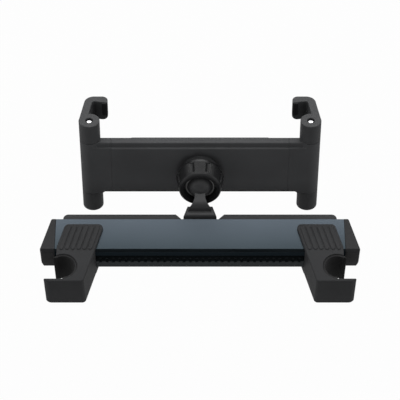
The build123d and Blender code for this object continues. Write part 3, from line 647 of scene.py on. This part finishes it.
# Studio: a pale floor well below the part, a pale room, and soft lamps above, behind, beside and in front.
# Floor and room are white to the camera and in reflections, and the floor keeps the part's soft shadow.
# Two cards show only in reflections: a dark one on the camera's side and a grey one under the part.
FLOOR_DROP = 0.35
FLOOR_HALF = 4.0
FLOOR_COLOUR = (0.6, 0.6, 0.6, 1)
FLOOR_ROUGHNESS = 0.9
FLOOR_SPECULAR = 0.0
FLOOR_SHOWN_WHITE = 0.95
ROOM_COLOUR = (1, 1, 1, 1)
ROOM_LIGHT = 0.35
ROOM_SHOWN_WHITE = 1.0
FRONT_CARD_COLOUR = (0.01, 0.01, 0.01, 1)
FRONT_CARD_ELEVATION = radians(25.0)
FRONT_CARD_DISTANCE = 1.7
FRONT_CARD_WIDTH = 3.0
FRONT_CARD_HEIGHT = 1.6
UNDER_CARD_COLOUR = (0.36, 0.36, 0.36, 1)
UNDER_CARD_HALF = 0.9
UNDER_CARD_LIFT = 0.02
SQUARE = ((-1, -1), (1, -1), (1, 1), (-1, 1))
OVERHEAD = dict(place=(0.0, 0.5, 1.6), size=(1.4, 1.0), watts=13.0)
BACK_BANK = dict(place=(0.0, 1.6, 0.95), size=(2.0, 0.6), watts=15.0)
LEFT_STRIP = dict(place=(-1.2, 0.1, 0.55), size=(0.35, 1.0), watts=4.0)
RIGHT_STRIP = dict(place=(1.2, 0.1, 0.55), size=(0.35, 1.0), watts=4.0)
FRONT_FILL = dict(place=(0.0, -1.5, 0.55), size=(0.6, 0.6), watts=5.0)


def flat_panel(name, corners, material):
    """Four-cornered panel of the studio."""
    mesh = bpy.data.meshes.new(name)
    mesh.from_pydata([tuple(corner) for corner in corners], [], [(0, 1, 2, 3)])
    mesh.materials.append(material)
    panel = bpy.data.objects.new(name, mesh)
    bpy.context.scene.collection.objects.link(panel)
    return panel


def seen_rays(tree):
    """Mask of the rays that see the studio itself: from the camera, through glass or off gloss."""
    rays = tree.nodes.new("ShaderNodeLightPath")
    mask = rays.outputs["Is Camera Ray"]
    for kind in ("Is Transmission Ray", "Is Glossy Ray"):
        either = tree.nodes.new("ShaderNodeMath")
        either.operation = "MAXIMUM"
        tree.links.new(mask, either.inputs[0])
        tree.links.new(rays.outputs[kind], either.inputs[1])
        mask = either.outputs["Value"]
    return mask


floor_paint = bpy.data.materials.new("floor_paint")
floor_paint.use_nodes = True
nodes = floor_paint.node_tree.nodes
link = floor_paint.node_tree.links.new
paint = nodes["Principled BSDF"]
paint.inputs["Base Color"].default_value = FLOOR_COLOUR
paint.inputs["Roughness"].default_value = FLOOR_ROUGHNESS
paint.inputs["Specular IOR Level"].default_value = FLOOR_SPECULAR
share = nodes.new("ShaderNodeMath")
share.operation = "MULTIPLY"
share.inputs[1].default_value = FLOOR_SHOWN_WHITE
link(seen_rays(floor_paint.node_tree), share.inputs[0])
white = nodes.new("ShaderNodeEmission")
mixed = nodes.new("ShaderNodeMixShader")
link(share.outputs["Value"], mixed.inputs["Fac"])
link(paint.outputs["BSDF"], mixed.inputs[1])
link(white.outputs["Emission"], mixed.inputs[2])
link(mixed.outputs["Shader"], nodes["Material Output"].inputs["Surface"])
floor_z = cad_box[0].z - FLOOR_DROP
flat_panel("floor", [(x * FLOOR_HALF, y * FLOOR_HALF, floor_z) for x, y in SQUARE], floor_paint)

middle = (cad_box[0] + cad_box[1]) / 2
towards_card = Vector((0, -cos(FRONT_CARD_ELEVATION), sin(FRONT_CARD_ELEVATION)))
card_middle = middle + FRONT_CARD_DISTANCE * towards_card
card_across = Vector((FRONT_CARD_WIDTH / 2, 0, 0))
card_up = Vector((0, sin(FRONT_CARD_ELEVATION), cos(FRONT_CARD_ELEVATION))) * FRONT_CARD_HEIGHT / 2
front_corners = [card_middle + x * card_across + y * card_up for x, y in SQUARE]
under_z = floor_z + UNDER_CARD_LIFT
under_corners = [(x * UNDER_CARD_HALF, y * UNDER_CARD_HALF, under_z) for x, y in SQUARE]
for name, corners, colour in (
    ("front_card", front_corners, FRONT_CARD_COLOUR),
    ("under_card", under_corners, UNDER_CARD_COLOUR),
):
    card_paint = bpy.data.materials.new(name)
    card_paint.use_nodes = True
    card_paint.node_tree.nodes["Principled BSDF"].inputs["Base Color"].default_value = colour
    card = flat_panel(name, corners, card_paint)
    card.visible_camera = False
    card.visible_diffuse = False
    card.visible_shadow = False

world = bpy.data.worlds.new("pale_room")
world.use_nodes = True
bpy.context.scene.world = world
nodes = world.node_tree.nodes
link = world.node_tree.links.new
room = nodes["Background"]
room.inputs["Color"].default_value = ROOM_COLOUR
strength = nodes.new("ShaderNodeMapRange")
strength.inputs["To Min"].default_value = ROOM_LIGHT
strength.inputs["To Max"].default_value = ROOM_SHOWN_WHITE
link(seen_rays(world.node_tree), strength.inputs["Value"])
link(strength.outputs["Result"], room.inputs["Strength"])


def softbox(name, place, size, watts):
    """Rectangular soft lamp at a place, turned towards the middle of the part."""
    lamp = bpy.data.lights.new(name, "AREA")
    lamp.shape = "RECTANGLE"
    lamp.size, lamp.size_y = size
    lamp.energy = watts
    stand = bpy.data.objects.new(name, lamp)
    stand.location = place
    stand.rotation_mode = "QUATERNION"
    stand.rotation_quaternion = (middle - Vector(place)).to_track_quat("-Z", "Y")
    bpy.context.scene.collection.objects.link(stand)
    return stand


softbox("overhead", **OVERHEAD)
softbox("back_bank", **BACK_BANK)
softbox("left_strip", **LEFT_STRIP)
softbox("right_strip", **RIGHT_STRIP)
front_fill = softbox("front_fill", **FRONT_FILL)
front_fill.visible_glossy = False

# Camera: a long lens that looks down on the rail from its front, as the photograph does.
# It aims at a point a little behind the rail, which puts the part where the photograph has it.
VIEW_ELEVATION = radians(56.0)
VIEW_DISTANCE = 1.125
VIEW_TARGET = Vector((0.0, 0.04587, 0.0306))
VIEW_LENS = 162.0
VIEW_SENSOR = 36.0

lens = bpy.data.cameras.new("camera")
lens.lens = VIEW_LENS
lens.sensor_width = VIEW_SENSOR
camera = bpy.data.objects.new("camera", lens)
away = Vector((0.0, -cos(VIEW_ELEVATION), sin(VIEW_ELEVATION)))
camera.location = VIEW_TARGET + VIEW_DISTANCE * away
camera.rotation_mode = "QUATERNION"
camera.rotation_quaternion = (-away).to_track_quat("-Z", "Y")
bpy.context.scene.collection.objects.link(camera)
bpy.context.scene.camera = camera
bpy.context.scene.view_settings.view_transform = "Standard"
